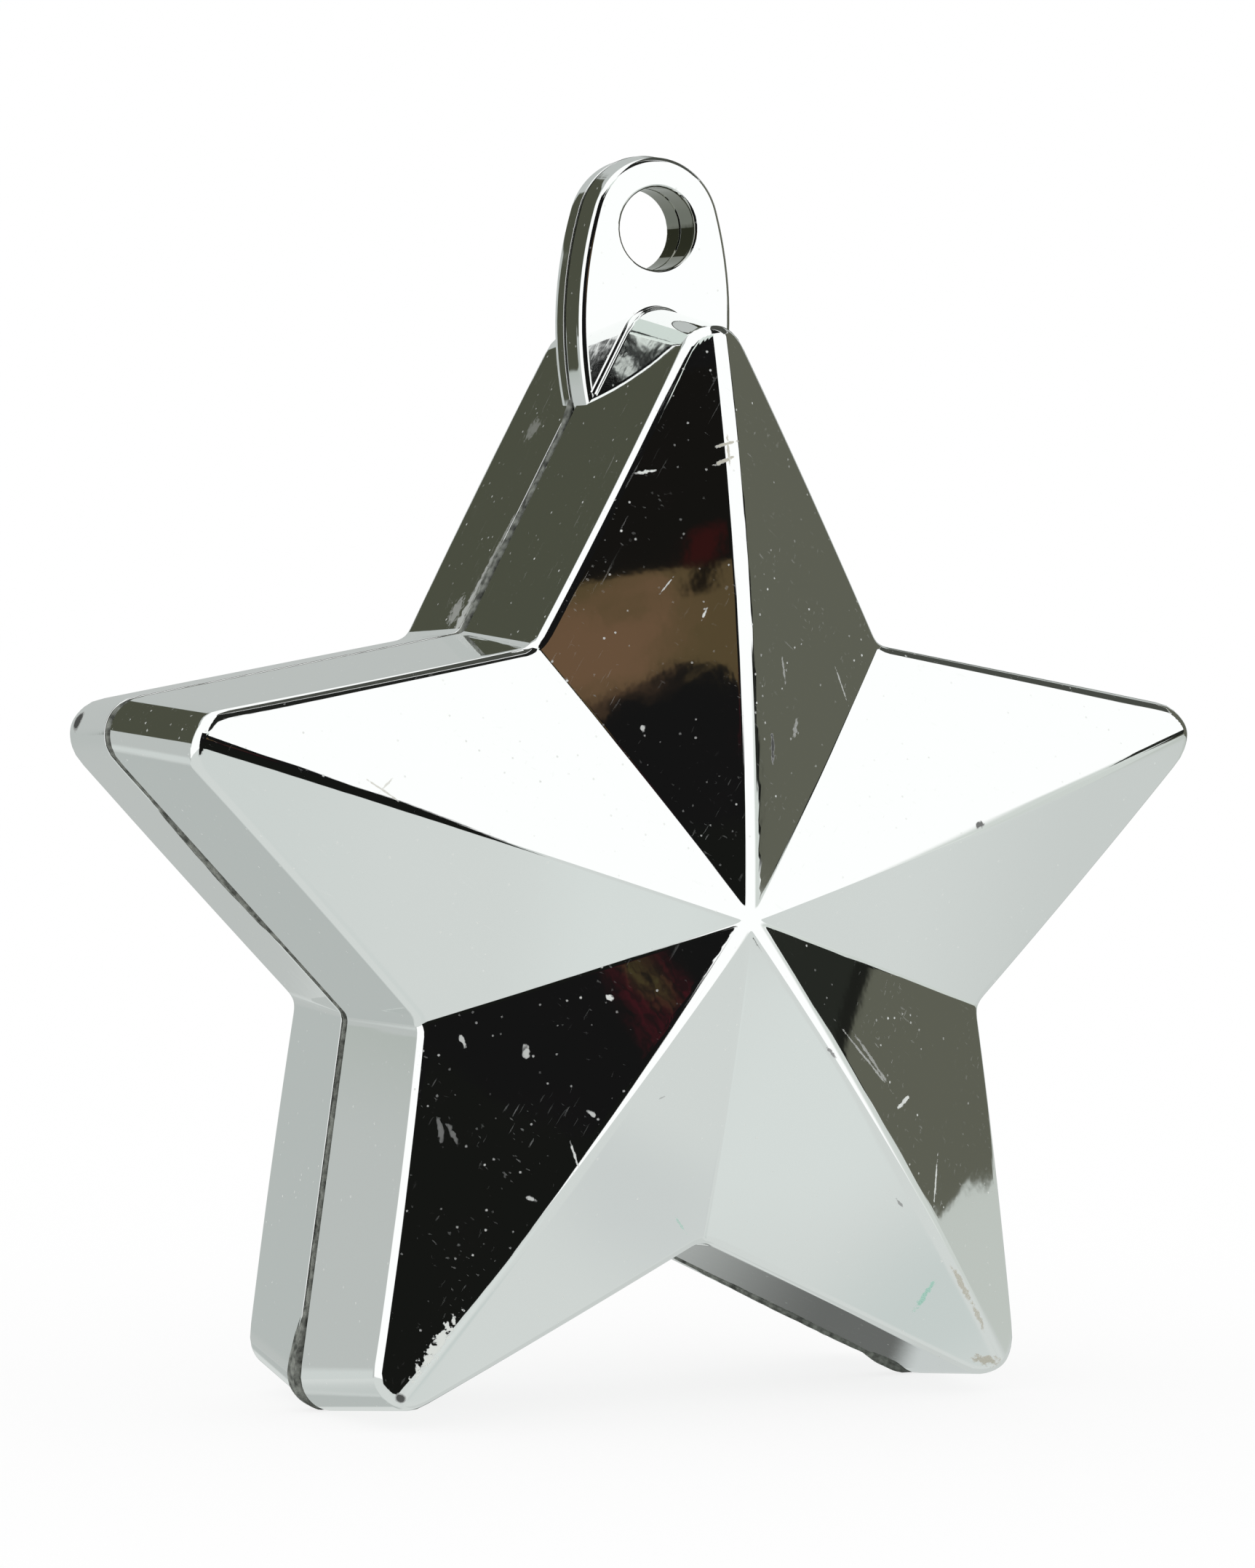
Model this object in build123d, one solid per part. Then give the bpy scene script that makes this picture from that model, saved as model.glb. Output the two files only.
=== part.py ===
from build123d import *
import math
import os

# Star balloon weight: two plated half shells welded round a sand filling.
# Millimetres and degrees. Each half is drawn flat, parting plane at z = 0 and face up,
# then stood upright: the front looks along -Y and the tips of two arms are the feet.

# The star's outline at the parting plane, where it is widest
arm_count = 5
tip_radius = 52.4        # centre to the sharp point of an arm, before rounding
tip_half_angle = 28.15   # between an arm's middle line and either of its walls
tip_round = 3.05
corner_round = 1.2       # between neighbouring arms
draft_angle = 4.4        # the walls lean in towards the face

# The faceted face
half_depth = 12.5        # parting plane to the rim of the face
apex_rise = 7.6          # rim of the face to the sharp apex
ridge_bow = 1.9          # how far a ridge's middle stands above a straight line
ridge_round = 1.5
rim_bevel = 0.7          # the broken edge where a facet meets the wall

# The hanging tab at the top
hole_above_tip = 2.6     # from the arm's sharp point up to the ribbon hole's centre
hole_radius = 3.35
tab_land = 2.65          # round the top of the hole
tab_belly = 1.1          # how much wider than its round top the tab gets, each side
tab_belly_drop = 7.5     # hole's centre down to the widest place
tab_half_thickness = 2.6
tab_draft_angle = 6.0
tab_bevel = 0.35

# Walls and the joint between the halves
wall = 2.2
cavity_tip_round = 1.2
tongue_inset = 1.2       # outline to the tongue, which is the rest of the wall
tongue_height = 1.4
fit_gap = 0.12           # between the tongue and its rebate, and behind the weld bead
bead_width = 0.5
bead_depth = 0.7
bead_recess = 0.08       # the bead lies just below the plated surface

# The filling
ballast_gap = 0.25
headspace = 18.4         # the arm's sharp point down to the level of the sand

sector = 180 / arm_count
hole_height = tip_radius + hole_above_tip
tab_top_radius = hole_radius + tab_land
tab_half_width = tab_top_radius + tab_belly
overlap_angle = 8        # how far one arm is carried past its sector before trimming
spare = 2.0              # cutting tools reach this far past what they cut
near = 0.001             # two points this close are the same point
wall_lean = 0.3          # a wall's normal rises less than this
facet_lean = 0.6         # and a facet's more than this


def inner_radius(outer):
    alpha = math.radians(tip_half_angle)
    return outer * math.sin(alpha) / math.sin(alpha + math.radians(sector))


def sharp_reach(inset):
    return tip_radius - inset / math.sin(math.radians(tip_half_angle))


def tip_rounding(inset):
    return max(tip_round - inset, cavity_tip_round)


def at_sharp_tip(vertex, inset):
    return abs(math.hypot(vertex.X, vertex.Y) - sharp_reach(inset)) < near


def star_outline(inset):
    # Sharp tips, rounded corners between the arms
    outer = sharp_reach(inset)
    inner = inner_radius(outer)
    points = []
    for k in range(2 * arm_count):
        angle = math.radians(90 + sector * k)
        reach = inner if k % 2 else outer
        points.append((reach * math.cos(angle), reach * math.sin(angle)))
    face = make_face(Polyline(*points, close=True))
    corners = [v for v in face.vertices() if math.hypot(v.X, v.Y) < (inner + outer) / 2]
    return fillet(corners, corner_round + inset)


def star_face(inset):
    outline = star_outline(inset)
    tips = [v for v in outline.vertices() if at_sharp_tip(v, inset)]
    return fillet(tips, tip_rounding(inset))


def star_walls(inset):
    # Drawn in towards the face, with the tips rounded alike along their whole height
    walls = extrude(star_outline(inset), amount=half_depth + apex_rise + spare, taper=draft_angle)
    upright = [e for e in walls.edges() if e.bounding_box().size.Z > half_depth]
    tips = [e for e in upright if any(at_sharp_tip(v, inset) for v in e.vertices())]
    return fillet(tips, tip_rounding(inset))


def wedge(half_angle):
    reach = 2 * tip_radius
    side = math.radians(half_angle)
    corner = (reach * math.sin(side), reach * math.cos(side))
    shape = Polyline((0, 0), corner, (0, 2 * reach), (-corner[0], corner[1]), close=True)
    return extrude(make_face(shape), amount=half_depth + apex_rise + spare)


def gable(inset, ridge_radius):
    # Two bowed facets meeting on the ridge of the arm that points along +Y
    rim_lean = half_depth * math.tan(math.radians(draft_angle))
    rim_tip = tip_radius - rim_lean / math.sin(math.radians(tip_half_angle))
    rim_corner = inner_radius(rim_tip)
    side = math.radians(sector)
    apex = Vector(0, 0, half_depth + apex_rise)
    tip = Vector(0, rim_tip, half_depth)
    corner = Vector(rim_corner * math.sin(side), rim_corner * math.cos(side), half_depth)
    facet_normal = (corner - apex).cross(tip - apex).normalized()
    sink = Vector(0, 0, -inset / abs(facet_normal.Z))
    middle = (apex + tip) * 0.5 + Vector(0, 0, ridge_bow)
    bow = ThreePointArc(apex + sink, middle + sink, tip + sink)
    start = point_on_bow(bow, -rim_corner / 2)
    end = point_on_bow(bow, rim_tip + 2 * spare)
    ridge = ThreePointArc(start, point_on_bow(bow, rim_tip / 2), end)
    low = -tip_radius
    foot = Polyline(end, (0, end.Y, low), (0, start.Y, low), start)
    profile = make_face([ridge, *foot.edges()])
    sideways = (corner - middle).normalized() * tip_radius
    right = Solid.extrude(profile.face(), sideways)
    both = right + right.mirror(Plane.YZ)
    if not ridge_radius:
        return both
    ridge_edge = both.edges().sort_by_distance(middle + sink)[0]
    return fillet(ridge_edge, ridge_radius)


def point_on_bow(bow, y):
    centre = bow.arc_center
    return Vector(0, y, centre.Z + math.sqrt(bow.radius**2 - (y - centre.Y) ** 2))


def rim_edges(block):
    # A drafted wall looks only a little upward, a facet looks mostly upward
    leaning = [f for f in block.faces() if near < f.normal_at(f.center()).Z < wall_lean]
    facing = [f for f in block.faces() if f.normal_at(f.center()).Z > facet_lean]
    upper = [e for f in facing for e in f.edges()]
    return [e for f in leaning for e in f.edges() if any(e.is_same(u) for u in upper)]


def star_half(inset, ridge_radius, bevel):
    # One arm is finished by itself, trimmed to its sector and repeated about the centre
    arm = star_walls(inset) & gable(inset, ridge_radius) & wedge(sector + overlap_angle)
    if bevel:
        arm = arm.solids()[0].chamfer(bevel, None, rim_edges(arm))
    arm = arm & wedge(sector)
    arms = [arm.rotate(Axis.Z, 2 * sector * k) for k in range(arm_count)]
    return arms[0].fuse(*arms[1:])


def tab_face():
    # A round top that runs smoothly into two long side arcs, which end inside the hollow arm
    side_radius = (tab_half_width**2 + tab_belly_drop**2 - tab_top_radius**2) / (2 * tab_belly)
    side_centre = Vector(tab_half_width - side_radius, hole_height - tab_belly_drop)
    hole_centre = Vector(0, hole_height)
    blend = side_centre + (hole_centre - side_centre).normalized() * side_radius
    belly = Vector(tab_half_width, side_centre.Y)
    root_height = sharp_reach(wall) - tab_half_width / math.tan(math.radians(tip_half_angle))
    root_half_width = side_centre.X + math.sqrt(side_radius**2 - (belly.Y - root_height) ** 2)
    root = Vector(root_half_width, root_height)
    outline = [
        ThreePointArc(root, belly, blend),
        ThreePointArc(blend, (0, hole_height + tab_top_radius), (-blend.X, blend.Y)),
        ThreePointArc((-blend.X, blend.Y), (-belly.X, belly.Y), (-root.X, root.Y)),
        Line((-root.X, root.Y), root),
    ]
    return make_face(outline)


def tab_half():
    tab = extrude(tab_face(), amount=tab_half_thickness, taper=tab_draft_angle)
    face_edges = tab.faces().sort_by(Axis.Z)[-1].edges()
    tab = chamfer(face_edges.sort_by(Axis.Y)[1:], tab_bevel)
    bore = Pos(0, hole_height) * extrude(Circle(hole_radius).face(), amount=tab_half_thickness)
    tab = tab - bore
    mouth = tab.edges().filter_by(GeomType.CIRCLE).filter_by(lambda e: abs(e.radius - hole_radius) < near)
    return chamfer(mouth.sort_by(Axis.Z)[-1], tab_bevel)


def outline_face(inset):
    silhouette = star_face(0) + tab_face()
    return offset(silhouette, -inset) if inset else silhouette


def bead_groove():
    around = Circle(2 * tip_radius) - outline_face(bead_depth)
    return extrude(around, amount=bead_width / 2)


def cavity_half():
    return star_half(wall, 0, 0)


def hollow_half():
    outside = star_half(0, ridge_round, rim_bevel) + tab_half()
    return outside - cavity_half() - bead_groove()


def tongue():
    block = extrude(star_face(tongue_inset), amount=-tongue_height)
    return block - cavity_half().mirror(Plane.XY)


def tongue_rebate():
    return extrude(star_face(tongue_inset - fit_gap), amount=tongue_height + fit_gap)


def weld_bead():
    ring = outline_face(bead_recess) - outline_face(bead_depth - fit_gap)
    return extrude(ring, amount=bead_width / 2, both=True)


def sand_ballast():
    front = star_half(wall + ballast_gap, 0, 0)
    whole = front + front.mirror(Plane.XY)
    level = tip_radius - headspace
    above = Pos(0, level + tip_radius) * Box(4 * tip_radius, 2 * tip_radius, 4 * tip_radius)
    return whole - above


def stood_up(shape, lift):
    return Pos(0, 0, lift) * shape.rotate(Axis.X, 90)


half = hollow_half()
front = half + tongue()
back = (half - tongue_rebate()).mirror(Plane.XY)
lift = -half.bounding_box().min.Y

pieces = {
    "front_shell": front,
    "back_shell": back,
    "weld_bead": weld_bead(),
    "sand_ballast": sand_ballast(),
}

os.makedirs("parts", exist_ok=True)
for node, shape in pieces.items():
    placed = stood_up(shape, lift)
    export_step(placed, f"parts/{node}.step")
    box = placed.bounding_box()
    print(node, round(placed.volume), "mm3", box.min, box.max)
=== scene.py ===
import math

import bpy
import numpy as np
from mathutils import Matrix, Vector, noise


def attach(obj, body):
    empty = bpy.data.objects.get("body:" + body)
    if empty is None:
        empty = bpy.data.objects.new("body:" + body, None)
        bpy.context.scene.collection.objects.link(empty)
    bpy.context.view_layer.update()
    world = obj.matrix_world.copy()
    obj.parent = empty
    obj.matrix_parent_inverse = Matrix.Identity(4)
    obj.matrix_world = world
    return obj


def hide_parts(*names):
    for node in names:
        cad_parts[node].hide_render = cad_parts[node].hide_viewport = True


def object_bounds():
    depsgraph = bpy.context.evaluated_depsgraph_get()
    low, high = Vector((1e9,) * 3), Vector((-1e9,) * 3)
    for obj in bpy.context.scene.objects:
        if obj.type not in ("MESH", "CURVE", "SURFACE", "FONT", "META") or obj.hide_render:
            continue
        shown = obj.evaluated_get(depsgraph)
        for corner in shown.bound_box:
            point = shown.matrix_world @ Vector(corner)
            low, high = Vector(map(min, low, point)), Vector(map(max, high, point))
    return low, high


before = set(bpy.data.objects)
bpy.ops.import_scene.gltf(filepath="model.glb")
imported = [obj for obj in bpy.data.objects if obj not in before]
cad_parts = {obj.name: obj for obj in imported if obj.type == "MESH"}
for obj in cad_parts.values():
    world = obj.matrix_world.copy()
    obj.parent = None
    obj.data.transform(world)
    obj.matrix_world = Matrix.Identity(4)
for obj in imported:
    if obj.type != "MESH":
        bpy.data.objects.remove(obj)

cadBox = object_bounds()
mm = 0.001


def toLinear(hexColour, alpha=1.0):
    parts = [int(hexColour[i:i + 2], 16) / 255 for i in (1, 3, 5)]
    return (*[c / 12.92 if c <= 0.04045 else ((c + 0.055) / 1.055) ** 2.4 for c in parts], alpha)


def addNode(tree, kind, links=None, **settings):        # a node given as a source links by its first output
    node = tree.nodes.new("ShaderNode" + kind)
    for name, value in settings.items():
        setattr(node, name, value)
    for socket, source in (links or {}).items():
        if isinstance(source, bpy.types.Node):
            source = source.outputs[0]
        if isinstance(source, bpy.types.NodeSocket):
            tree.links.new(source, node.inputs[socket])
        else:
            node.inputs[socket].default_value = source
    return node


def newMaterial(name):
    material = bpy.data.materials.new(name)
    material.use_nodes = True
    material.node_tree.nodes.clear()
    return material, material.node_tree


def newObject(name, points, faces):
    mesh = bpy.data.meshes.new(name)
    mesh.from_pydata(points, [], faces)
    made = bpy.data.objects.new(name, mesh)
    bpy.context.scene.collection.objects.link(made)
    return made


def quads(first, second, around):       # a closed band of faces between two rows of points
    ahead = [(i + 1) % around for i in range(around)]
    return [(first * around + i, first * around + j, second * around + j, second * around + i)
            for i, j in enumerate(ahead)]


def oneList(rows):
    return [tuple(p) for row in rows for p in row]


def cosSin(degrees):
    return math.cos(math.radians(degrees)), math.sin(math.radians(degrees))


# The star's own sizes, in millimetres and degrees: x right, y up the top arm, z towards the viewer
star = {
    "arms": 5,
    "tipReach": 52.4,        # centre to the sharp point of an arm, at the parting plane
    "tipHalfAngle": 28.15,   # middle line of an arm to either wall
    "tipRound": 3.05,
    "cornerRound": 1.2,      # between neighbouring arms
    "draft": 4.4,            # walls lean in towards the face
    "halfDepth": 12.5,       # parting plane to the rim
    "apexRise": 7.6,
    "ridgeBow": 1.9,         # middle of a ridge above a straight line
    "ridgeSoft": 0.75,       # half the width of a rounded ridge
    "valleySoft": 0.22,
    "rimRound": 0.62,
    "wall": 2.2,
}
tab = {
    "holeHeight": 55.0,      # above the star's centre
    "holeRadius": 3.35,
    "topRadius": 6.0,
    "halfWidth": 7.1,
    "widestDrop": 7.5,       # hole's centre down to the widest place
    "rootHeight": 34.4,      # ends inside the hollow arm
    "halfThickness": 2.6,
    "draft": 6.0,
    "edgeRound": 0.55,
    "mouthRound": 0.35,      # round the hole
    "rootFillet": 0.45,      # where the tab's face meets the arm
    "holeSeam": 0.15,        # a small groove where the two halves meet inside the hole
    "seamHalfWidth": 0.2,    # the halves close tighter on the tab than round the star
}
seam = {
    "grooveHalfWidth": 0.55,
    "grooveDepth": 0.7,
    "lip": 0.1,              # rounding of the groove's edges
    "tongueInset": 1.2,
    "tongueHeight": 1.4,
    "fit": 0.12,
}

sector = math.pi / star["arms"]
sinSector, cosSector = math.sin(sector), math.cos(sector)
tipAngle = math.radians(star["tipHalfAngle"])
cosTip, sinTip = cosSin(star["tipHalfAngle"])
cosDraft, sinDraft = cosSin(star["draft"])
tanDraft = math.tan(math.radians(star["draft"]))
tipLean = math.atan(tanDraft / sinTip)          # the tip's edge leans more than its walls
lift = cadBox[1].z / mm - tab["holeHeight"] - tab["topRadius"]    # star's centre above the floor

rimTip = star["tipReach"] - star["halfDepth"] * tanDraft / sinTip
rimCorner = rimTip * sinTip / math.sin(tipAngle + sector)
apexHeight = star["halfDepth"] + star["apexRise"]
middleY, middleZ = rimTip / 2, star["halfDepth"] + star["apexRise"] / 2 + star["ridgeBow"]
sideX = rimCorner * sinSector                   # from the middle of the ridge to the rim's corner
sideY = rimCorner * cosSector - middleY
sideZ = star["halfDepth"] - middleZ


def circleThrough(p, q, r):
    (ax, ay), (bx, by), (cx, cy) = p, q, r
    d = 2 * (ax * (by - cy) + bx * (cy - ay) + cx * (ay - by))
    ux = ((ax**2 + ay**2) * (by - cy) + (bx**2 + by**2) * (cy - ay) + (cx**2 + cy**2) * (ay - by)) / d
    uy = ((ax**2 + ay**2) * (cx - bx) + (bx**2 + by**2) * (ax - cx) + (cx**2 + cy**2) * (bx - ax)) / d
    return ux, uy, math.hypot(ax - ux, ay - uy)


bowY, bowZ, bowRadius = circleThrough((0, apexHeight), (middleY, middleZ), (rimTip, star["halfDepth"]))
cornerReach = (star["tipReach"] * sinTip + star["cornerRound"]) / math.sin(tipAngle + sector)


def softened(distance, half):
    distance = np.abs(distance)
    return np.where(distance < half, (distance**2 / half + half) / 2, distance)


def folded(w, a):       # every point has a twin in half an arm's sector: w beside the ridge, a along it
    w = np.abs(w)
    across = np.minimum(a * sinSector - w * cosSector, 0)
    return w + 2 * across * cosSector, a - 2 * across * sinSector


def roofHeight(w, a):
    w, a = folded(w, a)
    fromValley = a * sinSector - w * cosSector
    push = softened(fromValley, star["valleySoft"]) - fromValley
    w, a = softened(w - push * cosSector, star["ridgeSoft"]), a + push * sinSector
    share = w / sideX
    along = a - share * sideY
    return bowZ + np.sqrt(bowRadius**2 - (along - bowY) ** 2) + share * sideZ


def wallDistance(w, a, z):
    w, a = folded(w, a)
    z = np.abs(z)
    flat = (w * cosTip + a * sinTip - star["tipReach"] * sinTip + z * tanDraft) * cosDraft
    axis = star["tipReach"] - (star["tipRound"] / cosDraft + z * tanDraft) / sinTip
    ahead = (a - axis) * math.cos(tipLean)
    tipNormal = sinTip * cosDraft * math.cos(tipLean) + sinDraft * math.sin(tipLean)
    inTip = (ahead > 0) & (w * tipNormal < ahead * cosTip * cosDraft)
    fromCorner = np.hypot(w - cornerReach * sinSector, a - cornerReach * cosSector)
    inCorner = (a - cornerReach * cosSector) * cosTip - (w - cornerReach * sinSector) * sinTip < 0
    hollow = (star["cornerRound"] + z * tanDraft - fromCorner) * cosDraft
    return np.where(inTip, np.hypot(w, ahead) - star["tipRound"], np.where(inCorner, hollow, flat))


facetSpot, facetStep = (8.0, 20.0), 0.01        # a plain place on a facet, where its slope is read
facetFall = roofHeight(*facetSpot) - roofHeight(facetSpot[0] + facetStep, facetSpot[1])
facetCos = 1 / math.sqrt(1 + (facetFall / facetStep) ** 2)


def shellField(w, a, z):        # negative inside, with the rim rounded
    r = star["rimRound"]
    side = wallDistance(w, a, z) + r
    top = (z - roofHeight(w, a)) * facetCos + r
    return np.hypot(np.maximum(side, 0), np.maximum(top, 0)) + np.minimum(np.maximum(side, top), 0) - r


def rootAlong(field, low, high, halvings=50):       # bisection, all columns at once
    for _ in range(halvings):
        middle = (low + high) / 2
        outside = field(middle) > 0
        low, high = np.where(outside, low, middle), np.where(outside, middle, high)
    return (low + high) / 2


def normalsOf(field, points, step=0.004):
    grads = []
    for k in range(3):
        shift = np.zeros(3)
        shift[k] = step
        grads.append(field(*(points + shift).T) - field(*(points - shift).T))
    grads = np.array(grads).T
    return grads / np.linalg.norm(grads, axis=1, keepdims=True)


# Half an arm as columns (angle from the ridge) and rows (apex, facet, rim, wall, seam, inside)
columnAngles = [0, 0.2, 0.4, 0.65, 0.9, 1.2, 1.6, 2.1, 2.8, 3.6, 4.6, 6, 8, 11, 14.5, 18, 21.5, 25,
                28, 30.5, 32.5, 33.8, 34.6, 35.1, 35.5, 35.75, 36]
roofSteps = [0.012, 0.024, 0.037, 0.05, 0.065, 0.085, 0.11, 0.15, 0.2, 0.28, 0.37, 0.47, 0.58, 0.69,
             0.79, 0.88, 0.95]
fanAngles = [90, 80, 73, 68, 64, 60, 56, 52, 48, 44, 40, 36, 32, 28, 24, 19, 13, 6, 0]
wallSteps = [0.15, 0.3, 0.45, 0.6, 0.75, 0.88, 0.96]
lipAngles = [0, 30, 60, 90]
ceilingSteps = [1, 0.66, 0.33]
fanDepth = 2.0          # how far under the facet the rim's fan of rows is centred
fanWiden = 1.1          # and how far inside the wall, as a share of that
fanFar = 1.8            # its rays are searched out to this many times their plain length
ceilingInset = 0.9      # the hollow's ceiling starts this far inside its wall
reachRange = (4.0, 60.0)        # the outline lies between these radii

angles = np.radians(np.array(columnAngles, float))
sines, cosines = np.sin(angles), np.cos(angles)


def wallReach(inset, z):
    return rootAlong(lambda r: wallDistance(r * sines, r * cosines, z) + inset, *reachRange)


def halfArm(tongue):
    rows, normals = [], []

    def addRow(r, z, normal=None):
        points = np.array([r * sines, r * cosines, z + np.zeros_like(angles)]).T
        rows.append(points)
        normals.append(np.zeros_like(points) if normal is None else normal(points))

    def onShell(points):
        return normalsOf(shellField, points)

    fanReach = wallReach(fanDepth * fanWiden, star["halfDepth"])
    for step in roofSteps:
        addRow(step * fanReach, roofHeight(step * fanReach * sines, step * fanReach * cosines), onShell)
    fanHeight = roofHeight(fanReach * sines, fanReach * cosines) - fanDepth
    across = wallReach(0, fanHeight) - fanReach
    for angle in fanAngles:
        c, s = cosSin(angle)
        dr, dz = across * c, fanDepth * s

        def onRay(s):
            r = fanReach + s * dr
            return shellField(r * sines, r * cosines, fanHeight + s * dz)

        reach = rootAlong(onRay, 0.0, fanFar)
        addRow(fanReach + reach * dr, fanHeight + reach * dz, onShell)
    lipTop = seam["grooveHalfWidth"] + seam["lip"]
    for step in wallSteps:
        z = fanHeight + (lipTop - fanHeight) * step
        addRow(wallReach(0, z), z, onShell)
    for angle in lipAngles:
        c, s = cosSin(angle)

        def onLip(points):
            bent = normalsOf(wallDistance, points) * c
            bent[:, 2] -= s
            return bent / np.linalg.norm(bent, axis=1, keepdims=True)

        addRow(wallReach(seam["lip"] * (1 - c), lipTop), lipTop - seam["lip"] * s, onLip)
    shaped = len(rows)
    addRow(wallReach(seam["grooveDepth"], 0), seam["grooveHalfWidth"])
    addRow(wallReach(seam["grooveDepth"], 0), 0)
    inset = seam["tongueInset"] - (0 if tongue else seam["fit"])
    level = -seam["tongueHeight"] if tongue else seam["tongueHeight"] + seam["fit"]
    addRow(wallReach(inset, 0), 0)
    addRow(wallReach(inset, 0), level)
    addRow(wallReach(star["wall"], 0), level)
    ceiling = wallReach(star["wall"] + ceilingInset, star["halfDepth"])
    for step in ceilingSteps:
        under = roofHeight(step * ceiling * sines, step * ceiling * cosines) - star["wall"] / facetCos
        addRow(step * ceiling, under)
    return np.array(rows), np.array(normals), shaped


def wholeStar(tongue):
    rows, normals, shaped = halfArm(tongue)
    mirrored = np.array([-1.0, 1.0, 1.0])
    armRows = np.concatenate([rows[:, :0:-1] * mirrored, rows[:, :-1]], axis=1)
    armNormals = np.concatenate([normals[:, :0:-1] * mirrored, normals[:, :-1]], axis=1)
    allRows, allNormals = [], []
    for k in range(star["arms"]):
        turn = 2 * sector * k
        c, s = math.cos(turn), math.sin(turn)
        spin = np.array([[c, s, 0], [-s, c, 0], [0, 0, 1]])
        allRows.append(armRows @ spin.T)
        allNormals.append(armNormals @ spin.T)
    return np.concatenate(allRows, axis=1), np.concatenate(allNormals, axis=1), shaped


def starMesh(tongue):
    rows, normals, shaped = wholeStar(tongue)
    count, around = rows.shape[:2]
    apex, innerApex = count * around, count * around + 1
    top = float(roofHeight(0.0, 0.0))
    points = oneList(rows) + [(0, 0, top), (0, 0, top - star["wall"] / facetCos)]
    pointNormals = oneList(normals) + [(0, 0, 1), (0, 0, 0)]
    faces = [(apex, (i + 1) % around, i) for i in range(around)]
    smooth = [True] * around
    for r in range(count - 1):
        faces += quads(r, r + 1, around)
        smooth += [r + 1 < shaped] * around
    last = (count - 1) * around
    faces += [(last + i, last + (i + 1) % around, innerApex) for i in range(around)]
    smooth += [False] * around
    return points, pointNormals, faces, smooth


# The hanging tab: rings round the ribbon hole, over the mouth, across the face and down the side
tabBelly = tab["halfWidth"] - tab["topRadius"]
sideRadius = (tab["halfWidth"]**2 + tab["widestDrop"]**2 - tab["topRadius"]**2) / (2 * tabBelly)
sideCentreX, sideCentreY = tab["halfWidth"] - sideRadius, tab["holeHeight"] - tab["widestDrop"]
blendAngle = math.atan2(tab["widestDrop"], -sideCentreX)     # where the round top runs into the side
tabSlope = math.tan(math.radians(tab["draft"]))
sideSteps, topSteps, footSteps = 22, 48, 12         # along a side, over the top, across the hidden foot
leftFoot = 2 * sideSteps + topSteps                 # the last point before the foot
tabRings = {
    "seamUp": (0.9, 1.3),           # in the hole, in depths of its seam
    "seamTurn": (-1.5, -1),         # how the light is bent into that seam
    "bore": 0.45,                   # share of the half thickness
    "round": (30, 60, 90),          # degrees, round the hole's mouth and the seam's lips
    "face": (0.3, 0.65),            # shares of the way from the hole to the edge
    "edge": (90, 68, 45, 22, 4),    # degrees, over the edge
    "side": (0.6, 0.3),             # shares of the half thickness
}


def tabOutline():       # points and outward normals, anticlockwise from the right foot
    points, normals = [], []

    def addOnArc(x, y, radius, angle):
        points.append((x + radius * math.cos(angle), y + radius * math.sin(angle)))
        normals.append((math.cos(angle), math.sin(angle)))

    footAngle = math.asin((tab["rootHeight"] - sideCentreY) / sideRadius)
    for k in range(sideSteps + 1):
        addOnArc(sideCentreX, sideCentreY, sideRadius, footAngle + (blendAngle - footAngle) * k / sideSteps)
    for k in range(1, topSteps):
        angle = blendAngle + (math.pi - 2 * blendAngle) * k / topSteps
        addOnArc(0, tab["holeHeight"], tab["topRadius"], angle)
    for k in range(sideSteps, -1, -1):
        points.append((-points[k][0], points[k][1]))
        normals.append((-normals[k][0], normals[k][1]))
    start, width = points[leftFoot][0], points[0][0] - points[leftFoot][0]
    for k in range(1, footSteps):
        points.append((start + width * k / footSteps, tab["rootHeight"]))
        normals.append((0, -1))
    return np.array(points), np.array(normals)


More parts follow.
